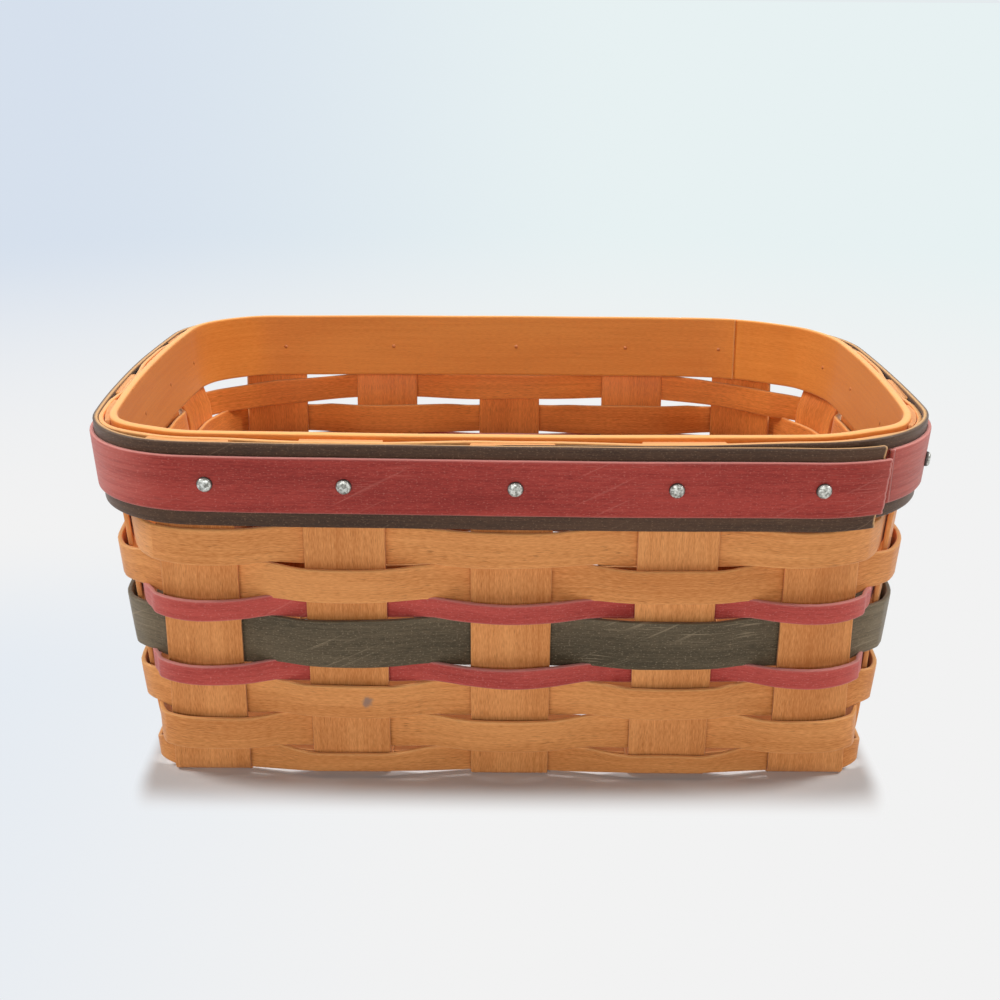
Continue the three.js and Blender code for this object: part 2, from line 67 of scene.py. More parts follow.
# Uprights
UPRIGHT_WIDTH = 19
UPRIGHT_THICKNESS = 1.3
FOLD_RADIUS = 1
UPRIGHT_TOP_DROP = 0.5
UPRIGHT_BACK_TOP_DROP = 1.6
LONG_END = 73.6
LONG_INNER = 38.8
SHORT_END = 43.5
SHORT_INNER = 16

# Weavers
WEAVER_THICKNESS = 1.2
BOTTOM_ROW_START = 1.8
ROW_GAP = 0.3
BACK_ROW_GAP = 0.75
NARROW_HEIGHT = 6.1
NATURAL_HEIGHT = 9
BACK_TOP_ROW_HEIGHT = 7.6
BACK_TOP_ROW_LIFT = 1.2
RED_HEIGHT = 4.3
RED_OVERLAP = 0.7
GREEN_HEIGHT = 12.4
NATURAL_ARCH = 0.8
RED_ARCH = 2.4
INSIDE_ARCH = 0.3
# A strip sags a little behind the uprights, and the top row dips in the corners at the back.
INSIDE_SAG = 1.2
OUTSIDE_DIP = 0.6
BOTTOM_SAG = 1.4
BOTTOM_DIP = 1.4
CORNER_DIP = 2.4
CORNER_DIP_REACH = 50

# Rim
INNER_BAND_HEIGHT = 18.4
INNER_BAND_THICKNESS = 2
OUTER_BAND_HEIGHT = 20.3
BACK_OUTER_BAND_HEIGHT = 17
OUTER_BAND_THICKNESS = 1.3
TRIM_HEIGHT = 13.5
TRIM_THICKNESS = 0.8
TRIM_DROP = 2.9
TOP_WEAVER_HEIGHT = 17.5
TOP_WEAVER_DROP = 0.3
BACK_RIM_DROP = 1.1
# Between the bands the top weaver and the uprights make way for each other, on both sides of a middle line.
RIM_WEAVE = 0.66
RIM_WEAVE_MIDDLE = 0.3
RIM_WEAVE_LOW = 64
RIM_WEAVE_HIGH = 70.5
# On the short sides the layers of the rim are pressed together towards the outer band.
TIGHT_SHIFT = 2.3
TIGHT_WEAVE_SHIFT = 0.85
LAP_RAMP_START = -14
LAP_START = -4
LAP_FULL = 82
LAP_END = 82
LAP_TIP = 0.2
LAP_GAP = 0.1
LAP_SPRING_START = 55
LAP_SPRING = 1.2
LAP_RISE_START = 30
LAP_RISE = 1
TRIM_START = 85.3
TRIM_END = 82.8
# Cut ends of the outer band and the trim: how far their low edge stands back, and how unevenly they are torn
END_SLANT = 1.3
TEAR = 0.25
TEETH = 16
SCARF_FROM = -71.5
SCARF_TO = -53.5
SCARF_TIP = 0.7
SCARF_SHOULDER = 1

# Tacks
TACK_HEAD_RADIUS = 1.8
TACK_HEAD_HEIGHT = 0.8
TACK_SHANK_RADIUS = 0.55
TACK_TIP_OUT = 0.05
TACK_DROP = 9.5
TACK_SIDES = 24
FRONT_TACK_SHIFTS = [4.4, 1, 0.7, -2, -4.3]
BACK_TACK_SHIFTS = [7.5, 2.6, -2, -2.4, -3.5]
RIGHT_TACK_SHIFTS = [-4.5, -4, -0.5, -1.5]
LEFT_TACK_SHIFTS = [1.5, 0.5, -0.5, -1.5]
TACK_SHIFTS = [FRONT_TACK_SHIFTS, RIGHT_TACK_SHIFTS, BACK_TACK_SHIFTS, LEFT_TACK_SHIFTS]

FIT_GAP = 0.3
SCARF_GAP = 0.1
WEAVE_OFFSET = UPRIGHT_THICKNESS / 2 + FIT_GAP + WEAVER_THICKNESS / 2
BAND_SEAT = WEAVE_OFFSET + WEAVER_THICKNESS / 2 + FIT_GAP
TRIM_SEAT = BAND_SEAT + OUTER_BAND_THICKNESS + FIT_GAP
TACK_SEAT = TRIM_SEAT + TRIM_THICKNESS + FIT_GAP
TACK_TIP = -BAND_SEAT - INNER_BAND_THICKNESS - TACK_TIP_OUT

# How finely the strips are cut up, and how their long edges are rounded and stray from a true line
STATION_STEP = 2.4
CORNER_STATIONS = 14
WALL_STATIONS = 30
FOLD_STATIONS = 5
EDGE_RADIUS = 0.28
EDGE_SHARE = 0.55
EDGE_SUPPORT = 0.7
# Points round an edge, from the narrow side to the face: the turn, and how much it belongs to the edge
EDGE_TURNS = [(math.radians(90), 1.0), (math.radians(45), 0.7), (0.0, 0.1)]
EDGE_WANDER = 0.09
RIM_WANDER = 0.03
WEAVER_WAVES = [190, 67, 31]
BAND_WAVES = [150, 43]
END_SPAN = 0.5

# Sides in turn, seen from above
FRONT, RIGHT, BACK, LEFT = range(4)
SIDE_NAMES = ["front", "right", "back", "left"]
ALONG = [Vector((1, 0)), Vector((0, 1)), Vector((-1, 0)), Vector((0, -1))]
OUT = [Vector((0, -1)), Vector((1, 0)), Vector((0, 1)), Vector((-1, 0))]
LONG_PLACES = [-LONG_END, -LONG_INNER, 0, LONG_INNER, LONG_END]
SHORT_PLACES = [-SHORT_END, -SHORT_INNER, SHORT_INNER, SHORT_END]
PLACES = [LONG_PLACES, SHORT_PLACES] * 2
LAST_EDGE = [max(places) + UPRIGHT_WIDTH / 2 for places in PLACES]
UPRIGHT_STANDS = [(side, place) for side in range(4) for place in PLACES[side]]
CORNER_KNOTS = [0.2, 0.4, 0.6, 0.8]
# The top weaver starts inside the front's first upright.
TOP_STARTS_OUTSIDE = False

# A stop is a place round the wall: `place` along a side, or a `share` of the corner after it.
Stop = namedtuple("Stop", "side place share along")
# A section of a strip: three points of the middle of its thickness, at its low edge, halfway and at its high
# edge, and the way its face looks there
Section = namedtuple("Section", "points normals thickness along bare", defaults=[0.0])
Edges = namedtuple("Edges", "front_low front_high back_low back_high")

rng = random.Random(SEED)
# Each strip is cut from its own length of wood.
grain_starts = itertools.count(0, GRAIN_SPACING)


def lerp(start, end, share):
    return start + (end - start) * share


def clamp(value, low=0.0, high=1.0):
    return max(low, min(high, value))


def smooth(share):
    share = clamp(share)
    return share * share * (3 - 2 * share)


def share_between(value, low, high):
    return (value - low) / (high - low)


# Wall


def side_shape(side, is_far_half, z):
    """One half of a side's arc and the corner arc at its end, at height z, in the side's own (along, out)
    plane: the arcs' radii and centres, and the turn of the side's arc at which the corner takes over."""
    share = z / RIM_HEIGHT
    belly = 4 * SIDE_BELLY * share * (1 - share)
    length = lerp(BASE_LENGTH, RIM_LENGTH, share) / 2 + belly
    width = lerp(BASE_WIDTH, RIM_WIDTH, share) / 2
    long_bow = lerp(BASE_BOW, RIM_LONG_BOW, share)
    short_bow = lerp(BASE_BOW, RIM_SHORT_BOW, share)
    rim_corner = RIM_CORNERS[side if is_far_half else side - 1]
    corner = lerp(BASE_CORNER_RADIUS, rim_corner, share * (2 - share))
    long_radius = (length**2 + long_bow**2) / (2 * long_bow)
    short_radius = (width**2 + short_bow**2) / (2 * short_bow)
    is_long = side in (FRONT, BACK)
    radius = long_radius if is_long else short_radius
    next_radius = short_radius if is_long else long_radius
    centre = Vector((0, (width if is_long else length) - radius))
    next_centre = Vector(((length if is_long else width) - next_radius, 0))
    gap = next_centre - centre
    apart = gap.length
    reach = ((radius - corner) ** 2 - (next_radius - corner) ** 2 + apart**2) / (2 * apart)
    rise = math.sqrt((radius - corner) ** 2 - reach**2)
    unit = gap / apart
    corner_centre = centre + unit * reach + Vector((unit.y, -unit.x)) * rise
    turn = math.atan2(corner_centre.x - centre.x, corner_centre.y - centre.y)
    return radius, centre, corner, corner_centre, turn


def to_plan(side, along, out):
    return ALONG[side] * along + OUT[side] * out


def side_point(side, place, z):
    """Point of the wall and its level normal at a place that is measured along the wall from a side's middle
    and runs on into the corner."""
    radius, centre, corner, corner_centre, corner_turn = side_shape(side, place > 0, z)
    turn = abs(place) / radius
    if turn > corner_turn:
        turn = corner_turn + (abs(place) - radius * corner_turn) / corner
        radius, centre = corner, corner_centre
    sign = math.copysign(1, place)
    along = sign * (centre.x + radius * math.sin(turn))
    normal = to_plan(side, sign * math.sin(turn), math.cos(turn))
    return to_plan(side, along, centre.y + radius * math.cos(turn)), normal


def corner_point(side, share, z):
    """Point of the corner after a side, from its last upright's edge to the next side's first."""
    following = (side + 1) % 4
    start_normal = side_point(side, LAST_EDGE[side], z)[1]
    end_normal = side_point(following, -LAST_EDGE[following], z)[1]
    start = math.atan2(start_normal.y, start_normal.x)
    turn = (math.atan2(end_normal.y, end_normal.x) - start) % math.tau
    angle = start + share * turn
    normal = Vector((math.cos(angle), math.sin(angle)))
    _, _, corner, corner_centre, _ = side_shape(side, True, z)
    return to_plan(side, corner_centre.x, corner_centre.y) + normal * corner, normal


def stop_point(stop, z):
    if stop.share is None:
        return side_point(stop.side, stop.place, z)
    return corner_point(stop.side, stop.share, z)


def wall_point(stop, z, offset):
    """Point at a height of the wall, moved out along the wall's own normal, which leans with it."""
    point, level_normal = stop_point(stop, z)
    lean = (stop_point(stop, z + 1)[0] - point).dot(level_normal)
    normal = Vector((level_normal.x, level_normal.y, -lean)).normalized()
    return Vector((point.x, point.y, z)) + normal * offset, normal


def on_side(side, place):
    return Stop(side, place, None, SIDE_STARTS[side] + place + LAST_EDGE[side])


def in_corner(side, share):
    return Stop(side, None, share, CORNER_STARTS[side] + share * CORNER_LENGTHS[side])


def corner_length(side):
    """Length of the corner after a side, halfway up the wall."""
    shares = [step / CORNER_STATIONS for step in range(CORNER_STATIONS + 1)]
    points = [corner_point(side, share, RIM_HEIGHT / 2)[0] for share in shares]
    return sum((there - here).length for here, there in zip(points, points[1:]))


CORNER_LENGTHS = [corner_length(side) for side in range(4)]
SIDE_STARTS = []
CORNER_STARTS = []
ROUND_LENGTH = 0
for last_edge, length in zip(LAST_EDGE, CORNER_LENGTHS):
    SIDE_STARTS.append(ROUND_LENGTH)
    CORNER_STARTS.append(ROUND_LENGTH + 2 * last_edge)
    ROUND_LENGTH += 2 * last_edge + length


def side_stops(side, start, end):
    steps = max(1, round((end - start) / STATION_STEP))
    return [on_side(side, lerp(start, end, step / steps)) for step in range(steps + 1)]


def corner_stops(side):
    return [in_corner(side, step / CORNER_STATIONS) for step in range(1, CORNER_STATIONS)]


def whole_side(side):
    """Stops along a side and round the corner after it."""
    return side_stops(side, -LAST_EDGE[side], LAST_EDGE[side]) + corner_stops(side)


def round_stops():
    """Stops all round the wall, from the left end of the front."""
    return [stop for side in range(4) for stop in whole_side(side)]


def height_between(front, back, stop):
    """A height that changes evenly from the front of the rim to its back."""
    share = stop_point(stop, RIM_HEIGHT)[0].y / RIM_WIDTH + 0.5
    return lerp(front, back, clamp(share))


def smooth_loop(knots, period):
    """Smooth curve through (along, value) knots that repeats after `period`."""
    count = len(knots)
    starts = [along for along, _ in knots]

    def knot(index):
        turns, place = divmod(index, count)
        along, value = knots[place]
        return along + turns * period, value

    def slope(index):
        (before, low), (after, high) = knot(index - 1), knot(index + 1)
        return (high - low) / (after - before)

    def value_at(along):
        along %= period
        index = bisect_right(starts, along) - 1
        (start, low), (end, high) = knot(index), knot(index + 1)
        span = end - start
        share = (along - start) / span
        rise = smooth(share)
        leave = share * (1 - share) ** 2 * span * slope(index)
        arrive = share * share * (1 - share) * span * slope(index + 1)
        return low + (high - low) * rise + leave - arrive

    return value_at


def wander(strength, lengths):
    """Slow random drift along a strip, as a sum of waves of the given lengths that close after one round."""
    waves = []
    for length in lengths:
        turns = max(1, round(ROUND_LENGTH / length))
        waves.append((turns * math.tau / ROUND_LENGTH, rng.uniform(0, math.tau)))
    return lambda along: strength * sum(math.sin(rate * along + phase) for rate, phase in waves)


# Meshes


def strip_outline(face_spans):
    """Points round a strip's section: share across it, inset from that edge, share of half its thickness, and
    how much the point belongs to the strip's edge."""
    across = [span / face_spans for span in range(1, face_spans)]

    def corner(share, inward, face, turns):
        points = []
        for angle, edge in turns:
            inset = inward * EDGE_RADIUS * (1 - math.sin(angle))
            depth = face * (1 - EDGE_SHARE * (1 - math.cos(angle)))
            points.append((share, inset, depth, edge))
        return points

    def flat(face, shares):
        return [(share, 0, face, 0) for share in shares]

    outline = corner(0, 1, 1, EDGE_TURNS)
    outline += [(0, EDGE_SUPPORT, 1, 0)] + flat(1, across) + [(1, -EDGE_SUPPORT, 1, 0)]
    outline += corner(1, -1, 1, EDGE_TURNS[::-1])
    outline += corner(1, -1, -1, EDGE_TURNS)
    outline += [(1, -EDGE_SUPPORT, -1, 0)] + flat(-1, across[::-1]) + [(0, EDGE_SUPPORT, -1, 0)]
    outline += corner(0, 1, -1, EDGE_TURNS[::-1])
    return outline


PLAIN_OUTLINE = strip_outline(4)
FINE_OUTLINE = strip_outline(TEETH)
# The dye covers the outer face and its edges; the other edges stay pale.
DYED_OUTLINE = [(share, inset, depth, 0 if depth > 0 else edge) for share, inset, depth, edge in FINE_OUTLINE]


def through_three(values, share):
    """Point at a share of the smooth way through three."""
    first, middle, last = values
    near = (1 - share) * (1 - 2 * share)
    far = share * (2 * share - 1)
    return first * near + middle * (4 * share * (1 - share)) + last * far


def section_points(section, outline):
    across = (section.points[2] - section.points[0]).normalized()
    points = []
    for share, inset, depth, _ in outline:
        point = through_three(section.points, share) + across * inset
        normal = through_three(section.normals, share).normalized()
        points.append(point + normal * (depth * section.thickness / 2))
    return points


def new_mesh(name, verts, faces, edges, domain):
    """Mesh with an `edge` attribute, smooth but for the cut ends of a strip."""
    mesh = bpy.data.meshes.new(name)
    mesh.from_pydata(verts, [], faces)
    mesh.attributes.new("edge", "FLOAT", domain)
    mesh.attributes["edge"].data.foreach_set("value", edges)
    mesh.polygons.foreach_set("use_smooth", [len(face) <= 4 for face in faces])
    mesh.update()
    return mesh


def strip_mesh(name, sections, is_ring, outline=PLAIN_OUTLINE, fray=None, bare_shares=(0, 1)):
    """Closed strip through its sections, with its grain as a UV map in millimetres (along, round the section)
    and an `edge` attribute that is 1 on its narrow edges, its cut ends and where it is bare. `fray` says how
    far its last end stands out at a share across it."""
    rings = [section_points(section, outline) for section in sections]
    count = len(outline)
    if fray:
        ahead = (sections[-1].points[1] - sections[-2].points[1]).normalized()
        for point, (share, _, _, _) in enumerate(outline):
            rings[-1][point] += ahead * fray(share)
            rings[-2][point] += ahead * fray(share)
    grain_start = next(grain_starts)
    outline_at = [0.0]
    for here, there in zip(rings[0], rings[0][1:] + rings[0][:1]):
        outline_at.append(outline_at[-1] + (there - here).length)

    def edge_at(ring, point):
        if not is_ring and ring in (0, len(rings) - 1):
            return 1.0
        share, _, _, edge = outline[point]
        is_bare = bare_shares[0] < share < bare_shares[1]
        return max(edge, sections[ring].bare if is_bare else 0.0)

    verts = [point * MM for ring in rings for point in ring]
    faces = []
    coords = []
    edges = []
    spans = len(rings) if is_ring else len(rings) - 1
    for here in range(spans):
        there = (here + 1) % len(rings)
        start = sections[here].along + grain_start
        end = sections[there].along + grain_start + (ROUND_LENGTH if there < here else 0)
        for point in range(count):
            following = (point + 1) % count
            faces.append((
                here * count + point,
                there * count + point,
                there * count + following,
                here * count + following,
            ))
            low, high = outline_at[point], outline_at[point + 1]
            coords += [(start, low), (end, low), (end, high), (start, high)]
            edges += [edge_at(here, point), edge_at(there, point)]
            edges += [edge_at(there, following), edge_at(here, following)]
    if not is_ring:
        last = (len(rings) - 1) * count
        faces.append(tuple(range(count)))
        faces.append(tuple(last + point for point in reversed(range(count))))
        for _ in range(2):
            coords += [(grain_start, outline_at[point]) for point in range(count)]
            edges += [1.0] * count
    mesh = new_mesh(name, verts, faces, edges, "CORNER")
    mesh.uv_layers.new(name="grain")
    mesh.uv_layers["grain"].uv.foreach_set("vector", [number for coord in coords for number in coord])
    return mesh


def add_piece(node, mesh, material, slot):
    """Shows a mesh in place of a node of the frame."""
    piece = bpy.data.objects.new(f"{node}_fine", mesh)
    bpy.context.scene.collection.objects.link(piece)
    mesh.materials.append(material)
    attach(piece, "root")
    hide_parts(node)


# Strips


def wall_section(stop, low, high, offset, thickness):
    seats = [wall_point(stop, z, offset) for z in (low, (low + high) / 2, high)]
    points, normals = zip(*seats)
    return Section(points, normals, thickness, stop.along)


def is_weaver_outside(side, place, starts_outside):
    """Whether a weaver passes outside the upright that stands there; it starts at the front's first one."""
    is_odd = UPRIGHT_STANDS.index((side, place)) % 2 == 1
    return is_odd != starts_outside


def weave_curve(starts_outside, outside_arch, inside_arch, reach=WEAVE_OFFSET, middle=0.0):
    """How far out a weaver runs, all the way round: outside one upright and inside the next."""
    knots = []
    for side, place in UPRIGHT_STANDS:
        is_outside = is_weaver_outside(side, place, starts_outside)
        sign = 1 if is_outside else -1
        arch = outside_arch if is_outside else inside_arch
        at_edge = middle + sign * (reach + arch / 2)
        knots.append((on_side(side, place - UPRIGHT_WIDTH / 2).along, at_edge))
        knots.append((on_side(side, place).along, middle + sign * (reach + arch)))
        knots.append((on_side(side, place + UPRIGHT_WIDTH / 2).along, at_edge))
        following = PLACES[side].index(place) + 1
        if following < len(PLACES[side]):
            knots.append((on_side(side, (place + PLACES[side][following]) / 2).along, middle))
        else:
            for share in CORNER_KNOTS:
                across = middle + sign * reach * math.cos(math.pi * share)
                knots.append((in_corner(side, share).along, across))
    return smooth_loop(knots, ROUND_LENGTH)


def tightness(stop):
    """How far the layers of the rim are pressed together there, from 0 to 1."""
    is_short = stop.side in (RIGHT, LEFT)
    if stop.share is None:
        return 1.0 if is_short else 0.0
    return 1 - smooth(stop.share) if is_short else smooth(stop.share)


# Each sag says how much lower a row's low and high edges lie at a stop, where the row runs `offset` out.


def bottom_sag(stop, offset):
    return BOTTOM_SAG * clamp((1 - offset / WEAVE_OFFSET) / 2), BOTTOM_DIP * clamp(offset / WEAVE_OFFSET)


def inside_sag(stop, offset):
    return height_between(INSIDE_SAG, 0, stop) * clamp(-offset / WEAVE_OFFSET), 0


def natural_sag(stop, offset):
    return inside_sag(stop, offset)[0], OUTSIDE_DIP * clamp(offset / WEAVE_OFFSET)


def top_sag(stop, offset):
    low, high = inside_sag(stop, offset)
    away = min(abs(stop.along - in_corner(side, 0.5).along) for side in (RIGHT, BACK))
    dip = CORNER_DIP * (1 - smooth(away / CORNER_DIP_REACH))
    return low + dip, high + dip


def weaver_sections(edges, offset_at, sag_at):
    """Once round, with straying edges."""
    low_drift = wander(EDGE_WANDER, WEAVER_WAVES)
    high_drift = wander(EDGE_WANDER, WEAVER_WAVES)
    sections = []
    for stop in round_stops():
        offset = offset_at(stop.along)
        low_sag, high_sag = sag_at(stop, offset)
        low = height_between(edges.front_low, edges.back_low, stop) + low_drift(stop.along) - low_sag
        high = height_between(edges.front_high, edges.back_high, stop) + high_drift(stop.along) - high_sag
        sections.append(wall_section(stop, low, high, offset, WEAVER_THICKNESS))
    return sections


def upright_sections(side, place, cross_places, rises):
    """Down one wall, folded under, woven across the base and up the opposite wall."""
    opposite = side + 2
    low_level = UPRIGHT_THICKNESS / 2
    high_level = low_level + UPRIGHT_THICKNESS + FIT_GAP
    wall_foot = low_level + FOLD_RADIUS
    lines = [place - UPRIGHT_WIDTH / 2, place, place + UPRIGHT_WIDTH / 2]
    sections = []

    def add(points, normals):
        along = 0
        if sections:
            along = sections[-1].along + (points[1] - sections[-1].points[1]).length
        sections.append(Section(points, normals, UPRIGHT_THICKNESS, along))

    def add_wall(on, z):
        turn = 1 if on == side else -1
        is_inside = is_weaver_outside(on, turn * place, TOP_STARTS_OUTSIDE)
        way = RIM_WEAVE_MIDDLE + (-RIM_WEAVE if is_inside else RIM_WEAVE)
        way += TIGHT_WEAVE_SHIFT * tightness(on_side(on, turn * place))
        offset = way * smooth(share_between(z, RIM_WEAVE_LOW, RIM_WEAVE_HIGH))
        points, normals = zip(*[wall_point(on_side(on, turn * line), z, offset) for line in lines])
        add(points, normals)

    def add_low(on, out, z, tilt):
        outward = OUT[on]
        normal = Vector((outward.x * math.sin(tilt), outward.y * math.sin(tilt), -math.cos(tilt)))
        plans = [to_plan(side, line, 0) + outward * out for line in lines]
        add([Vector((plan.x, plan.y, z)) for plan in plans], [normal] * len(plans))

    def wall_heights(on):
        stop = on_side(on, place if on == side else -place)
        top = RIM_HEIGHT - height_between(UPRIGHT_TOP_DROP, UPRIGHT_BACK_TOP_DROP, stop)
        return [lerp(top, wall_foot, step / WALL_STATIONS) for step in range(WALL_STATIONS + 1)]

    reach = min(side_point(side, line, wall_foot)[0].dot(OUT[side]) for line in lines)
    base_end = reach - FOLD_RADIUS
    tilts = [math.radians(90) * step / FOLD_STATIONS for step in range(FOLD_STATIONS)]

    def add_fold(on, tilt):
        z = wall_foot - FOLD_RADIUS * math.cos(tilt)
        add_low(on, base_end + FOLD_RADIUS * math.sin(tilt), z, tilt)

    knots = [(-base_end, low_level)]
    for cross_place, is_over in zip(cross_places, rises):
        level = high_level if is_over else low_level
        knots += [(cross_place - UPRIGHT_WIDTH / 2, level), (cross_place + UPRIGHT_WIDTH / 2, level)]
    knots.append((base_end, low_level))

    for z in wall_heights(side):
        add_wall(side, z)
    for tilt in reversed(tilts[1:]):
        add_fold(side, tilt)
    for (start, start_level), (end, end_level) in zip(knots, knots[1:]):
        steps = max(1, round((end - start) / STATION_STEP))
        for step in range(steps):
            share = step / steps
            add_low(side, -lerp(start, end, share), lerp(start_level, end_level, smooth(share)), 0)
    for tilt in tilts:
        add_fold(opposite, tilt)
    for z in reversed(wall_heights(opposite)):
        add_wall(opposite, z)
    return sections


def further_round(stop):
    return stop._replace(along=stop.along + ROUND_LENGTH)


def band_section(stop, edges, inner, outer, rise):
    low = height_between(edges.front_low, edges.back_low, stop) + rise
    high = height_between(edges.front_high, edges.back_high, stop) + rise
    return wall_section(stop, low, high, (inner + outer) / 2, outer - inner)


def top_weaver_sections(edges, offset_at):
    drift = wander(RIM_WANDER, WEAVER_WAVES)
    sections = []
    for stop in round_stops():
        inner = offset_at(stop.along) + TIGHT_WEAVE_SHIFT * tightness(stop) - WEAVER_THICKNESS / 2
        sections.append(band_section(stop, edges, inner, inner + WEAVER_THICKNESS, drift(stop.along)))
    return sections


def inner_band_sections():
    """Starts and ends on the back, where its start lies on top of its pared end."""
    low, high = RIM_HEIGHT - INNER_BAND_HEIGHT, RIM_HEIGHT
    edges = Edges(low, high, low, high)
    drift = wander(RIM_WANDER, BAND_WAVES)

    def start_thickness(place):
        full = INNER_BAND_THICKNESS - SCARF_GAP - SCARF_TIP
        return lerp(SCARF_TIP, full, share_between(place, SCARF_FROM, SCARF_TO))

    def section(stop, pared_inside, pared_outside):
        outer = TIGHT_SHIFT * tightness(stop) - BAND_SEAT
        inner = outer - INNER_BAND_THICKNESS
        return band_section(stop, edges, inner + pared_inside, outer - pared_outside, drift(stop.along))

    scarf = [on_side(BACK, SCARF_FROM)] + side_stops(BACK, SCARF_FROM + END_SPAN, SCARF_TO)
    first_whole = side_stops(BACK, SCARF_TO + SCARF_SHOULDER, LAST_EDGE[BACK]) + corner_stops(BACK)
    last_whole = side_stops(BACK, -LAST_EDGE[BACK], SCARF_FROM - SCARF_SHOULDER)
    others = whole_side(LEFT)
    for side in (FRONT, RIGHT):
        others += [further_round(stop) for stop in whole_side(side)]
    sections = []
    for stop in scarf:
        sections.append(section(stop, 0, INNER_BAND_THICKNESS - start_thickness(stop.place)))
    for stop in first_whole + others + [further_round(stop) for stop in last_whole]:
        sections.append(section(stop, 0, 0))
    for stop in scarf:
        sections.append(section(further_round(stop), start_thickness(stop.place) + SCARF_GAP, 0))
    return sections


def lap_thickness(place):
    """Thickness of the outer band's start, which grows from its tip."""
    return lerp(LAP_TIP, OUTER_BAND_THICKNESS, clamp(share_between(place, LAP_START, LAP_FULL)))


def lap_lift(side, place):
    """How far the end of the outer band stands off its seat on the front."""
    if side != FRONT:
        return 0
    climb = smooth(share_between(place, LAP_RAMP_START, LAP_START))
    spring = LAP_SPRING * clamp(share_between(place, LAP_SPRING_START, LAP_END)) ** 2
    return climb * (lap_thickness(place) + LAP_GAP) + spring


def lap_rise(stop):
    """How much higher a lapped strip's start stands than the rest: most in the corner after the front."""
    if stop.side == FRONT and stop.share:
        return LAP_RISE
    if stop.side == FRONT:
        return LAP_RISE * smooth(share_between(stop.place, LAP_RISE_START, LAP_END))
    if stop.side == RIGHT and stop.share is None:
        return LAP_RISE * smooth(-stop.place / LAST_EDGE[RIGHT])
    return 0


def lapped_sections(edges, inner, outer, start, end, bare=(0, 0)):
    """Starts at a place on the front, goes once round and ends on the lap. Between the places `bare` the
    start of the strip has no dye."""
    drift = wander(RIM_WANDER, BAND_WAVES)
    first = side_stops(FRONT, start, max(start + END_SPAN, LAST_EDGE[FRONT])) + corner_stops(FRONT)
    for side in (RIGHT, BACK, LEFT):
        first += whole_side(side)
    sections = []
    for stop in first:
        depth = outer - inner
        is_bare = False
        if stop.side == FRONT and stop.share is None:
            depth = min(depth, lap_thickness(stop.place))
            is_bare = bare[0] < stop.place < bare[1]
        rise = lap_rise(stop) + drift(stop.along)
        section = band_section(stop, edges, inner, inner + depth, rise)
        sections.append(section._replace(bare=1.0 if is_bare else 0.0))
    for stop in side_stops(FRONT, -LAST_EDGE[FRONT], end - END_SPAN) + [on_side(FRONT, end)]:
        move = lap_lift(FRONT, stop.place)
        later = further_round(stop)
        sections.append(band_section(later, edges, inner + move, outer + move, drift(stop.along)))
    return sections


# Finishes


def srgb(red, green, blue):
    """Linear colour of a screen colour from 0 to 255."""
    def linear(level):
        level /= 255
        return level / 12.92 if level <= 0.04045 else ((level + 0.055) / 1.055) ** 2.4
    return linear(red), linear(green), linear(blue), 1


WOOD_ROUGHNESS = (0.44, 0.58)
WOOD_SHINE = 0.2
WOOD_SHEEN = 0.12
SHEEN_ROUGHNESS = 0.4
RELIEF_DEPTH = 0.06
RELIEF_STRENGTH = 0.3
SCRATCH_TURN = math.radians(-28)
# A small stain on one row
SPOT_PLACE = (-34.4, -67, 21.7)
SPOT_SIZE = 1.9
SPOT_COLOUR = srgb(150, 118, 100)
SPOT_SCALE = 900
# Faces that look towards a point inside the basket are painted with light and shade: up high a brighter,
# warmer colour as painted bounce light, lower down a darker one as painted shade, changing between two
# heights. How much they are painted is how far they lie from the point along their normal.
INSIDE_MIDDLE = (0, 0, 60)
INSIDE_FACING = (10, 35)
INSIDE_HEIGHTS = (40, 58)
HIGH_INSIDE_BOUNCE_LIGHT = (1.28, 0.97, 0.62, 1)
LOW_INSIDE_SHADE = (0.52, 0.42, 0.36, 1)
# Where the dye is paler round the corners, partly rubbed wear and partly a painted sheen of glancing light,
# from the middle outwards
RUB_AND_SHEEN_ALONG = (76, 98)
RUB_AND_SHEEN_ACROSS = (35, 60)
# The `edge` mark of a tack's shank, and how fine its metal is mottled
SHANK_MARK = 2.0
MOTTLE_SCALE = 1400


class NodeTree:
    """A node tree under construction; `node` adds one node and links or sets its sockets."""

    def __init__(self, tree):
        self.tree = tree
        tree.nodes.clear()

    def node(self, kind, sockets, **settings):
        node = self.tree.nodes.new(kind)
        for key, value in settings.items():
            setattr(node, key, value)
        for key, value in sockets.items():
            if isinstance(value, bpy.types.NodeSocket):
                self.tree.links.new(value, node.inputs[key])
            else:
                node.inputs[key].default_value = value
        return node

    def math(self, operation, first, second=0.0):
        return self.node("ShaderNodeMath", {0: first, 1: second}, operation=operation).outputs[0]

    def product(self, first, *others):
        for other in others:
            first = self.math("MULTIPLY", first, other)
        return first

    def weighted(self, *parts):
        """Sum of values, each times its weight."""
        total = 0.0
        for value, weight in parts:
            total = self.math("ADD", total, self.product(value, weight))
        return total

    def fade(self, value, low, high, start=0.0, end=1.0):
        """Smooth change from `start` to `end` while a value goes from `low` to `high`."""
        sockets = {"Value": value, "From Min": low, "From Max": high, "To Min": start, "To Max": end}
        return self.node("ShaderNodeMapRange", sockets, interpolation_type="SMOOTHSTEP").outputs[0]

    def fade_mm(self, value, low, high):
        return self.fade(value, low * MM, high * MM)

    def seen(self):
        """1 for what the camera sees, also in or through a shiny surface, and 0 for what only gives light."""
        rays = self.node("ShaderNodeLightPath", {}).outputs
        is_mirrored = self.math("MAXIMUM", rays["Is Glossy Ray"], rays["Is Transmission Ray"])
        return self.math("MAXIMUM", rays["Is Camera Ray"], is_mirrored)


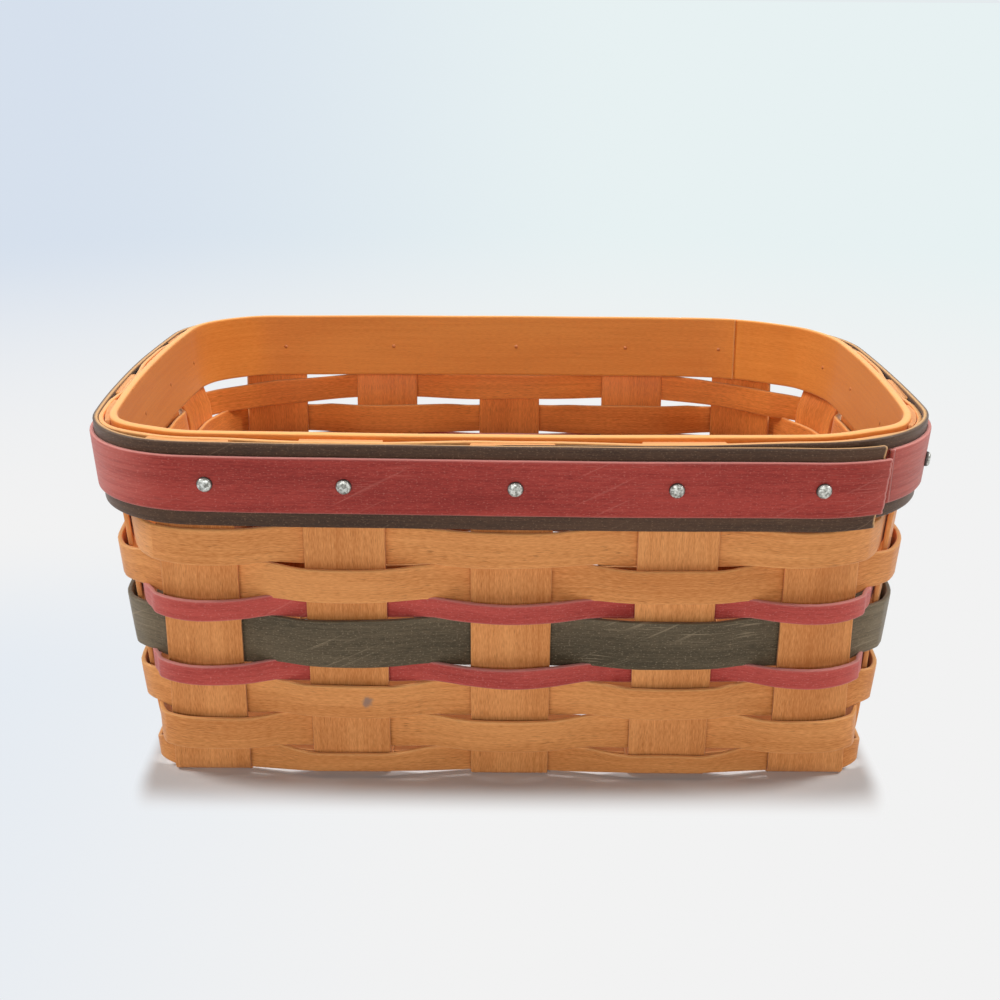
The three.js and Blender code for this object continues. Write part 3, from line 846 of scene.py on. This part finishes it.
class Finish(NodeTree):
    """A material under construction."""

    def __init__(self, name):
        self.material = bpy.data.materials.new(name)
        self.material.use_nodes = True
        super().__init__(self.material.node_tree)

    def mix(self, share, first, second, blend="MIX"):
        sockets = {0: share, 6: first, 7: second}
        return self.node("ShaderNodeMix", sockets, data_type="RGBA", blend_type=blend).outputs[2]

    def grain(self, along, across, turn=0.0):
        """The strip's own coordinates, as cycles per millimetre along and across its grain."""
        uv = self.node("ShaderNodeUVMap", {}, uv_map="grain").outputs[0]
        if turn:
            sockets = {"Vector": uv, "Angle": turn}
            uv = self.node("ShaderNodeVectorRotate", sockets, rotation_type="Z_AXIS").outputs[0]
        return self.vector("MULTIPLY", uv, (along, across, 1))

    def noise(self, vector, detail=2.0, roughness=0.5):
        sockets = {"Vector": vector, "Scale": 1.0, "Detail": detail, "Roughness": roughness}
        return self.node("ShaderNodeTexNoise", sockets, noise_dimensions="2D").outputs[0]

    def edge(self):
        return self.node("ShaderNodeAttribute", {}, attribute_name="edge").outputs["Fac"]

    def vector(self, operation, first, second=(0, 0, 0)):
        outputs = self.node("ShaderNodeVectorMath", {0: first, 1: second}, operation=operation).outputs
        return outputs["Value" if operation in ("DISTANCE", "DOT_PRODUCT", "LENGTH") else "Vector"]

    def split(self, vector):
        return self.node("ShaderNodeSeparateXYZ", {0: vector}).outputs

    def own(self, kind):
        """The piece's own coordinates of a kind: Object or Normal."""
        return self.node("ShaderNodeTexCoord", {}).outputs[kind]

    def facing_in(self, ways):
        """Share that is 1 on faces that look towards the middle of the basket, counted along the axes whose
        `ways` are 1."""
        inward = self.vector("SUBTRACT", Vector(INSIDE_MIDDLE) * MM, self.own("Object"))
        inward = self.vector("MULTIPLY", inward, ways)
        return self.fade_mm(self.vector("DOT_PRODUCT", inward, self.own("Normal")), *INSIDE_FACING)

    def corner(self):
        """Share that is 1 round the four corners of the walls and 0 on their sides."""
        away = self.split(self.vector("ABSOLUTE", self.own("Object")))
        return self.product(self.fade_mm(away[0], *RUB_AND_SHEEN_ALONG), self.fade_mm(away[1], *RUB_AND_SHEEN_ACROSS))

    def spot(self):
        """Share of the small ragged stain."""
        where = self.own("Object")
        away = self.vector("DISTANCE", where, Vector(SPOT_PLACE) * MM)
        ragged = self.node("ShaderNodeTexNoise", {"Vector": where, "Scale": SPOT_SCALE}).outputs[0]
        away = self.math("ADD", away, self.product(self.math("SUBTRACT", ragged, 0.5), SPOT_SIZE * MM))
        return self.fade_mm(away, SPOT_SIZE, 0.2 * SPOT_SIZE)

    def bump(self, height, depth, strength):
        sockets = {"Height": height, "Distance": depth * MM, "Strength": strength}
        return self.node("ShaderNodeBump", sockets).outputs[0]

    def output(self, shader):
        self.node("ShaderNodeOutputMaterial", {"Surface": shader})
        return self.material

    def surface(self, sockets):
        return self.output(self.node("ShaderNodeBsdfPrincipled", sockets).outputs[0])

    def splint(self, colour, raw_edge, edge_share, fibre, relief):
        """Satin wood with a fine relief, paler on its raw edges."""
        return self.surface({
            "Base Color": self.mix(self.product(self.edge(), edge_share), colour, raw_edge),
            "Roughness": self.fade(fibre, 0.3, 0.7, *WOOD_ROUGHNESS),
            "Normal": self.bump(relief, RELIEF_DEPTH, RELIEF_STRENGTH),
            "Specular IOR Level": WOOD_SHINE,
            "Sheen Weight": WOOD_SHEEN,
            "Sheen Roughness": SHEEN_ROUGHNESS,
        })


def wood(name, dark, light, fleck, raw_edge, flecked=0.45, edge_share=0.6, painted_inside_light_ways=None, spotted=False):
    """Splint with faint streaks, fine fibres and short dark dashes along its grain."""
    finish = Finish(name)
    tone = finish.noise(finish.grain(0.011, 0.07), detail=2)
    streak = finish.noise(finish.grain(0.03, 1.2), detail=3, roughness=0.6)
    fibre = finish.noise(finish.grain(0.6, 4.2), detail=2)
    spread = finish.weighted((tone, 0.4), (streak, 0.35), (fibre, 0.5))
    colour = finish.mix(finish.fade(spread, 0.35, 0.9), dark, light)
    dash = finish.fade(finish.noise(finish.grain(0.32, 4.2), detail=1), 0.64, 0.76)
    patch = finish.fade(finish.noise(finish.grain(0.06, 0.2)), 0.4, 0.65)
    flecks = finish.product(dash, patch, flecked)
    colour = finish.mix(flecks, colour, fleck)
    if spotted:
        colour = finish.mix(finish.spot(), colour, SPOT_COLOUR)
    # Inside faces get painted bounce light up high and painted shade towards the base.
    if painted_inside_light_ways:
        height = finish.split(finish.own("Object"))[2]
        inside_light_and_shade = finish.mix(finish.fade_mm(height, *INSIDE_HEIGHTS), LOW_INSIDE_SHADE, HIGH_INSIDE_BOUNCE_LIGHT)
        colour = finish.mix(finish.facing_in(painted_inside_light_ways), colour, inside_light_and_shade, "MULTIPLY")
    relief = finish.math("SUBTRACT", finish.math("ADD", fibre, streak), flecks)
    return finish.splint(colour, raw_edge, edge_share, fibre, relief)


def dyed(name, dark, light, wear_and_sheen, raw_edge, scratched=0.3, speckled=0.25, edge_share=0.6, rubbed_and_sheen=0.35):
    """Splint with even dye over fine fibres, light scratches, pale specks, and corners painted paler, partly
    as rubbed wear and partly as painted sheen.
    """
    finish = Finish(name)
    tone = finish.noise(finish.grain(0.015, 0.1), detail=3)
    streak = finish.noise(finish.grain(0.05, 1.6), detail=3, roughness=0.6)
    fibre = finish.noise(finish.grain(0.5, 3.8), detail=2)
    spread = finish.weighted((tone, 0.6), (streak, 0.4), (fibre, 0.5))
    colour = finish.mix(finish.fade(spread, 0.5, 1.0), dark, light)
    patch = finish.fade(finish.noise(finish.grain(0.022, 0.05), detail=2), 0.46, 0.64)
    slanted = finish.noise(finish.grain(0.03, 1.2, turn=SCRATCH_TURN), detail=1)
    level = finish.noise(finish.grain(0.09, 2.8), detail=1)
    scratch = finish.math("MAXIMUM", finish.fade(slanted, 0.66, 0.8), finish.fade(level, 0.64, 0.8))
    colour = finish.mix(finish.product(scratch, patch, scratched), colour, wear_and_sheen)
    speck = finish.fade(finish.noise(finish.grain(1.6, 3.4), detail=1), 0.62, 0.78, 0.0, speckled)
    colour = finish.mix(speck, colour, wear_and_sheen)
    # Paler corners: partly rubbed wear, partly painted sheen of glancing light.
    rub_and_sheen = finish.product(finish.corner(), finish.fade(streak, 0.3, 0.6, 0.6 * rubbed_and_sheen, rubbed_and_sheen))
    colour = finish.mix(rub_and_sheen, colour, wear_and_sheen)
    return finish.splint(colour, raw_edge, edge_share, fibre, finish.math("ADD", fibre, streak))


def zinc(name):
    """Dull hammered zinc with a painted shadow in the ring where the head meets the wood, and brown on the
    shank.
    """
    finish = Finish(name)
    sockets = {"Vector": finish.own("Object"), "Scale": MOTTLE_SCALE, "Detail": 3.0, "Roughness": 0.6}
    mottle = finish.node("ShaderNodeTexNoise", sockets).outputs[0]
    colour = finish.mix(finish.fade(mottle, 0.35, 0.68), srgb(120, 118, 110), srgb(226, 226, 218))
    # Painted shadow: the ring under the head is darkened where it meets the wood, and is not metal there.
    ring = finish.fade(finish.edge(), 0.0, 1.0)
    colour = finish.mix(ring, colour, srgb(58, 50, 46))
    colour = finish.mix(finish.fade(finish.edge(), 1.0, SHANK_MARK), colour, srgb(196, 112, 52))
    metal = finish.fade(ring, 0.0, 1.0, 0.75, 0.0)
    rough = finish.fade(mottle, 0.3, 0.7, 0.55, 0.35)
    normal = finish.bump(mottle, 0.25, 0.6)
    return finish.surface({"Base Color": colour, "Metallic": metal, "Roughness": rough, "Normal": normal})


WEAVER_WOOD = wood(
    "honey_splint", srgb(187, 114, 56), srgb(226, 157, 93), srgb(108, 56, 24), srgb(240, 184, 118),
    painted_inside_light_ways=(1, 1, 0), spotted=True,
)
UPRIGHT_WOOD = wood(
    "upright_splint", srgb(188, 116, 59), srgb(227, 158, 95), srgb(116, 60, 26), srgb(234, 168, 106),
    flecked=0.35, edge_share=0.4, painted_inside_light_ways=(1, 1, 1),
)
# Its deeper, brighter orange is partly the band's own tone and partly painted bounce light from inside the
# basket.
INNER_WOOD = wood(
    "inner_band_wood", srgb(214, 123, 47), srgb(231, 145, 64), srgb(160, 86, 36), srgb(246, 196, 126),
    flecked=0.2,
)
TRIM_WOOD = dyed(
    "red_trim_wood", srgb(132, 40, 34), srgb(168, 63, 54), srgb(214, 136, 122), srgb(214, 150, 140),
    scratched=0.18,
)
RED_ROW_WOOD = dyed(
    "red_splint_wood", srgb(152, 52, 46), srgb(186, 78, 69), srgb(220, 150, 138), srgb(216, 160, 152),
    scratched=0.25,
)
GREEN_WOOD = dyed(
    "green_splint_wood", srgb(66, 57, 41), srgb(100, 87, 67), srgb(168, 150, 122), srgb(104, 92, 70),
    scratched=0.4, speckled=0.35, edge_share=0.4,
)
BAND_WOOD = dyed(
    "dark_band_wood", srgb(58, 40, 29), srgb(84, 60, 44), srgb(136, 110, 86), srgb(226, 174, 114),
    scratched=0.3, speckled=0.4, edge_share=0.9, rubbed_and_sheen=0.15,
)
TACK_ZINC = zinc("tack_zinc")


# Uprights

for way, side in [("front_back", FRONT), ("left_right", RIGHT)]:
    cross_places = PLACES[side + 1]
    for index, place in enumerate(PLACES[side]):
        node = f"upright_{way}_{index + 1}"
        rises = [(side + index + cross) % 2 == 1 for cross in range(len(cross_places))]
        sections = upright_sections(side, place, cross_places, rises)
        add_piece(node, strip_mesh(node, sections, False), UPRIGHT_WOOD, "natural_splint")

# Rows from the ground up: name, height, arch, sag, finish and slot. The top row is narrower on the back, and
# the red rows are a little wider than their place, behind the rows above them.
NATURAL = (WEAVER_WOOD, "natural_splint")
RED = (RED_ROW_WOOD, "red_splint")
GREEN = (GREEN_WOOD, "green_splint")
ROWS = [
    ("row_1_narrow", NARROW_HEIGHT, 0, bottom_sag, NATURAL),
    ("row_2_natural", NATURAL_HEIGHT, NATURAL_ARCH, natural_sag, NATURAL),
    ("row_3_natural", NATURAL_HEIGHT, NATURAL_ARCH, natural_sag, NATURAL),
    ("row_4_red", RED_HEIGHT, RED_ARCH, inside_sag, RED),
    ("row_5_green", GREEN_HEIGHT, NATURAL_ARCH, inside_sag, GREEN),
    ("row_6_red", RED_HEIGHT, RED_ARCH, inside_sag, RED),
    ("row_7_natural", NATURAL_HEIGHT, NATURAL_ARCH, natural_sag, NATURAL),
    ("row_8_natural", NATURAL_HEIGHT, NATURAL_ARCH, top_sag, NATURAL),
]
low = BOTTOM_ROW_START
back_low = BOTTOM_ROW_START
for index, (node, height, arch, sag_at, look) in enumerate(ROWS):
    is_top = sag_at is top_sag
    back_height = BACK_TOP_ROW_HEIGHT if is_top else height
    lift = BACK_TOP_ROW_LIFT if is_top else 0
    overlap = RED_OVERLAP if look is RED else 0
    edges = Edges(low, low + height + overlap, back_low + lift, back_low + back_height + overlap + lift)
    curve = weave_curve(index % 2 == 1, arch, INSIDE_ARCH)
    sections = weaver_sections(edges, curve, sag_at)
    add_piece(node, strip_mesh(node, sections, True), *look)
    low += height + ROW_GAP
    back_low += back_height + BACK_ROW_GAP


# Rim


def torn_end():
    """How far a cut end stands out at a share across it: it slants, and its fibres end unevenly."""
    teeth = [rng.uniform(-TEAR, TEAR) for _ in range(TEETH + 1)]

    def stand_out(share):
        return END_SLANT * (share - 1) + teeth[round(share * TEETH)]

    return stand_out


top_high = RIM_HEIGHT - TOP_WEAVER_DROP
top_low = top_high - TOP_WEAVER_HEIGHT
top_edges = Edges(top_low, top_high, top_low, top_high - BACK_RIM_DROP)
top_curve = weave_curve(TOP_STARTS_OUTSIDE, 0, 0, RIM_WEAVE, RIM_WEAVE_MIDDLE)
top_mesh = strip_mesh("rim_top_weaver", top_weaver_sections(top_edges, top_curve), True)
add_piece("rim_top_weaver", top_mesh, WEAVER_WOOD, "natural_splint")

inner_mesh = strip_mesh("rim_inner_band", inner_band_sections(), False)
add_piece("rim_inner_band", inner_mesh, INNER_WOOD, "inner_band")

trim_high = RIM_HEIGHT - TRIM_DROP
trim_low = trim_high - TRIM_HEIGHT
trim_edges = Edges(trim_low, trim_high, trim_low, trim_high)
trim_outer = TRIM_SEAT + TRIM_THICKNESS
trim_sections = lapped_sections(trim_edges, TRIM_SEAT - FIT_GAP, trim_outer, TRIM_START, TRIM_END)
trim_mesh = strip_mesh("rim_red_trim", trim_sections, False, FINE_OUTLINE, torn_end())
add_piece("rim_red_trim", trim_mesh, TRIM_WOOD, "red_splint")

back_band_high = RIM_HEIGHT - BACK_RIM_DROP
band_low = RIM_HEIGHT - OUTER_BAND_HEIGHT
band_edges = Edges(band_low, RIM_HEIGHT, back_band_high - BACK_OUTER_BAND_HEIGHT, back_band_high)
band_outer = BAND_SEAT + OUTER_BAND_THICKNESS
band_sections = lapped_sections(
    band_edges, BAND_SEAT, band_outer, LAP_START, LAP_END, bare=(TRIM_END - END_SPAN, TRIM_START + END_SPAN)
)
trim_shares = [(edge - band_low) / OUTER_BAND_HEIGHT for edge in (trim_low, trim_high)]
band_mesh = strip_mesh("rim_outer_band", band_sections, False, DYED_OUTLINE, torn_end(), trim_shares)
add_piece("rim_outer_band", band_mesh, BAND_WOOD, "dark_band")


# Tacks


def tack_mesh(name, shank):
    """Low domed head on a round shank; `edge` marks the painted shadow ring under the head, and more the
    shank.
    """
    head = TACK_HEAD_RADIUS
    top = TACK_HEAD_HEIGHT
    # Rings from the crown down: radius, height, mark (of the painted shadow ring, and more on the shank)
    profile = [
        (0.35 * head, top, 0.0),
        (0.62 * head, 0.94 * top, 0.0),
        (0.8 * head, 0.8 * top, 0.0),
        (0.9 * head, 0.58 * top, 0.15),
        (0.96 * head, 0.25 * top, 0.7),
        (head, 0.0, 1.0),
        (head, -FIT_GAP, 1.0),
        (TACK_SHANK_RADIUS, -FIT_GAP, SHANK_MARK),
        (TACK_SHANK_RADIUS, -shank, SHANK_MARK),
    ]
    verts = [Vector((0, 0, top)) * MM]
    marks = [0.0]
    for radius, height, mark in profile:
        for side in range(TACK_SIDES):
            angle = math.tau * side / TACK_SIDES
            verts.append(Vector((radius * math.cos(angle), radius * math.sin(angle), height)) * MM)
            marks.append(mark)
    verts.append(Vector((0, 0, -shank)) * MM)
    marks.append(SHANK_MARK)
    faces = []
    for side in range(TACK_SIDES):
        following = (side + 1) % TACK_SIDES
        faces.append((0, 1 + side, 1 + following))
        for ring in range(len(profile) - 1):
            here = 1 + ring * TACK_SIDES
            there = here + TACK_SIDES
            faces.append((here + side, there + side, there + following, here + following))
        last = 1 + (len(profile) - 1) * TACK_SIDES
        faces.append((last + side, len(verts) - 1, last + following))
    return new_mesh(name, verts, faces, marks, "POINT")


for side in range(4):
    for index, place in enumerate(PLACES[side]):
        node = f"tack_{SIDE_NAMES[side]}_{index + 1}"
        tack_place = place + TACK_SHIFTS[side][index]
        offset = TACK_SEAT + lap_lift(side, tack_place)
        seat, normal = wall_point(on_side(side, tack_place), RIM_HEIGHT - TACK_DROP, offset)
        tip = TACK_TIP + TIGHT_SHIFT * tightness(on_side(side, tack_place))
        mesh = tack_mesh(node, offset - tip)
        turn = normal.to_track_quat("Z", "Y").to_matrix().to_4x4()
        mesh.transform(Matrix.Translation(seat * MM) @ turn)
        add_piece(node, mesh, TACK_ZINC, "tack_metal")


# Floor

# In metres: the floor, and how far from the base its shadow is kept and only the backdrop is left
FLOOR_RADIUS = 300
FLOOR_SIDES = 96
SHADOW_REACH = 0.005
PLAIN_REACH = 0.021
# Off the short ends it is kept over a third of that.
END_SHADOW_SHARE = 3
# In metres: where the backdrop's painted shade, a cool darkening, grows to the left and the front, and where
# its far colour does, which is painted darker to the left
PAINTED_SHADE_LEFT = (0.0, -0.16)
PAINTED_SHADE_FRONT = (0.12, -0.02)
FAR_RADII = (0.17, 0.9)
FAR_SHADE_SIDEWAYS = (0.1, -0.3)
FAR_CENTRE = 0.5


def floor_finish():
    """Pale floor that keeps the shadow round the part, and further off shows as a plain backdrop to the
    camera and to shiny surfaces."""
    finish = Finish("pale_floor")
    place = finish.node("ShaderNodeNewGeometry", {}).outputs["Position"]
    split = finish.split(place)
    # Painted soft shadow on the backdrop, low and to the left.
    painted_left_shade = finish.product(finish.fade(split[0], *PAINTED_SHADE_LEFT), finish.fade(split[1], *PAINTED_SHADE_FRONT))
    near_colour = finish.mix(painted_left_shade, srgb(242, 242, 242), srgb(229, 235, 242))
    radius = finish.vector("LENGTH", place)
    sideways = finish.math("DIVIDE", split[0], finish.math("ADD", radius, FAR_CENTRE))
    # Painted shade: the far backdrop is darker and cooler to the left.
    far_colour = finish.mix(finish.fade(sideways, *FAR_SHADE_SIDEWAYS), srgb(231, 241, 242), srgb(214, 224, 237))
    plain_colour = finish.mix(finish.fade(radius, *FAR_RADII), near_colour, far_colour)
    half_base = Vector((BASE_LENGTH, BASE_WIDTH, 0)) * MM / 2
    aside = finish.vector("SUBTRACT", finish.vector("ABSOLUTE", place), half_base)
    aside = finish.vector("MULTIPLY", finish.vector("MAXIMUM", aside), (END_SHADOW_SHARE, 1, 1))
    distance = finish.vector("LENGTH", aside)
    plain = finish.product(finish.fade(distance, SHADOW_REACH, PLAIN_REACH), finish.seen())
    # The floor's lit colour is darker than the backdrop's, which deepens the contact shadow near the base:
    # painted shade on top of the real shadow.
    shaded = finish.node("ShaderNodeBsdfDiffuse", {"Color": srgb(214, 213, 212)}).outputs[0]
    backdrop = finish.node("ShaderNodeEmission", {"Color": plain_colour, "Strength": 1.0}).outputs[0]
    return finish.output(finish.node("ShaderNodeMixShader", {0: plain, 1: shaded, 2: backdrop}).outputs[0])


floor_angles = [math.tau * side / FLOOR_SIDES for side in range(FLOOR_SIDES)]
floor_points = [Vector((math.cos(angle), math.sin(angle), 0)) * FLOOR_RADIUS for angle in floor_angles]
floor_mesh = bpy.data.meshes.new("floor")
floor_mesh.from_pydata(floor_points, [], [tuple(range(FLOOR_SIDES))])
floor_mesh.materials.append(floor_finish())
floor = bpy.data.objects.new("floor", floor_mesh)
bpy.context.scene.collection.objects.link(floor)


# Light and camera

WORLD_COLOUR = (0.92, 0.97, 1.0, 1)
WORLD_LIGHT = 0.05
WORLD_SEEN = 0.85

world = bpy.data.worlds.new("soft_dome")
bpy.context.scene.world = world
world.use_nodes = True
dome = NodeTree(world.node_tree)
dome_strength = dome.fade(dome.seen(), 0.0, 1.0, WORLD_LIGHT, WORLD_SEEN)
background = dome.node("ShaderNodeBackground", {"Color": WORLD_COLOUR, "Strength": dome_strength})
dome.node("ShaderNodeOutputWorld", {"Surface": background.outputs[0]})


def softbox(name, place, target, width, height, power):
    data = bpy.data.lights.new(name, "AREA")
    data.shape = "RECTANGLE"
    data.size = width
    data.size_y = height
    data.energy = power
    lamp = bpy.data.objects.new(name, data)
    lamp.location = place
    lamp.rotation_euler = (Vector(target) - Vector(place)).to_track_quat("-Z", "Y").to_euler()
    bpy.context.scene.collection.objects.link(lamp)


LIGHT_TARGET = (0, 0, 0.05)
softbox("overhead_softbox", (0.0, 0.05, 1.5), (0, 0, 0), width=0.4, height=0.15, power=11)
softbox("left_softbox", (-1.0, 0.1, 0.85), LIGHT_TARGET, width=0.4, height=0.5, power=9.5)
softbox("right_softbox", (1.0, 0.1, 0.85), LIGHT_TARGET, width=0.4, height=0.5, power=9.5)
softbox("front_softbox", (-0.1, -1.5, 0.5), LIGHT_TARGET, width=1.4, height=0.4, power=11)

FOCAL_PIXELS = 1489
IMAGE_PIXELS = 1000
SENSOR = 36
CAMERA_PLACE = Vector((-2.75, -392.04, 182.96))
CAMERA_PITCH = 18.615
CAMERA_ROLL = 0.4

camera_data = bpy.data.cameras.new("camera")
camera_data.sensor_width = SENSOR
camera_data.lens = FOCAL_PIXELS / IMAGE_PIXELS * SENSOR
camera_data.clip_start = 0.01
camera = bpy.data.objects.new("camera", camera_data)
tilt = Matrix.Rotation(math.radians(90 - CAMERA_PITCH), 4, "X")
roll = Matrix.Rotation(math.radians(CAMERA_ROLL), 4, "Z")
camera.matrix_world = Matrix.Translation(CAMERA_PLACE * MM) @ tilt @ roll
bpy.context.scene.collection.objects.link(camera)
bpy.context.scene.camera = camera
bpy.context.scene.view_settings.view_transform = "Standard"
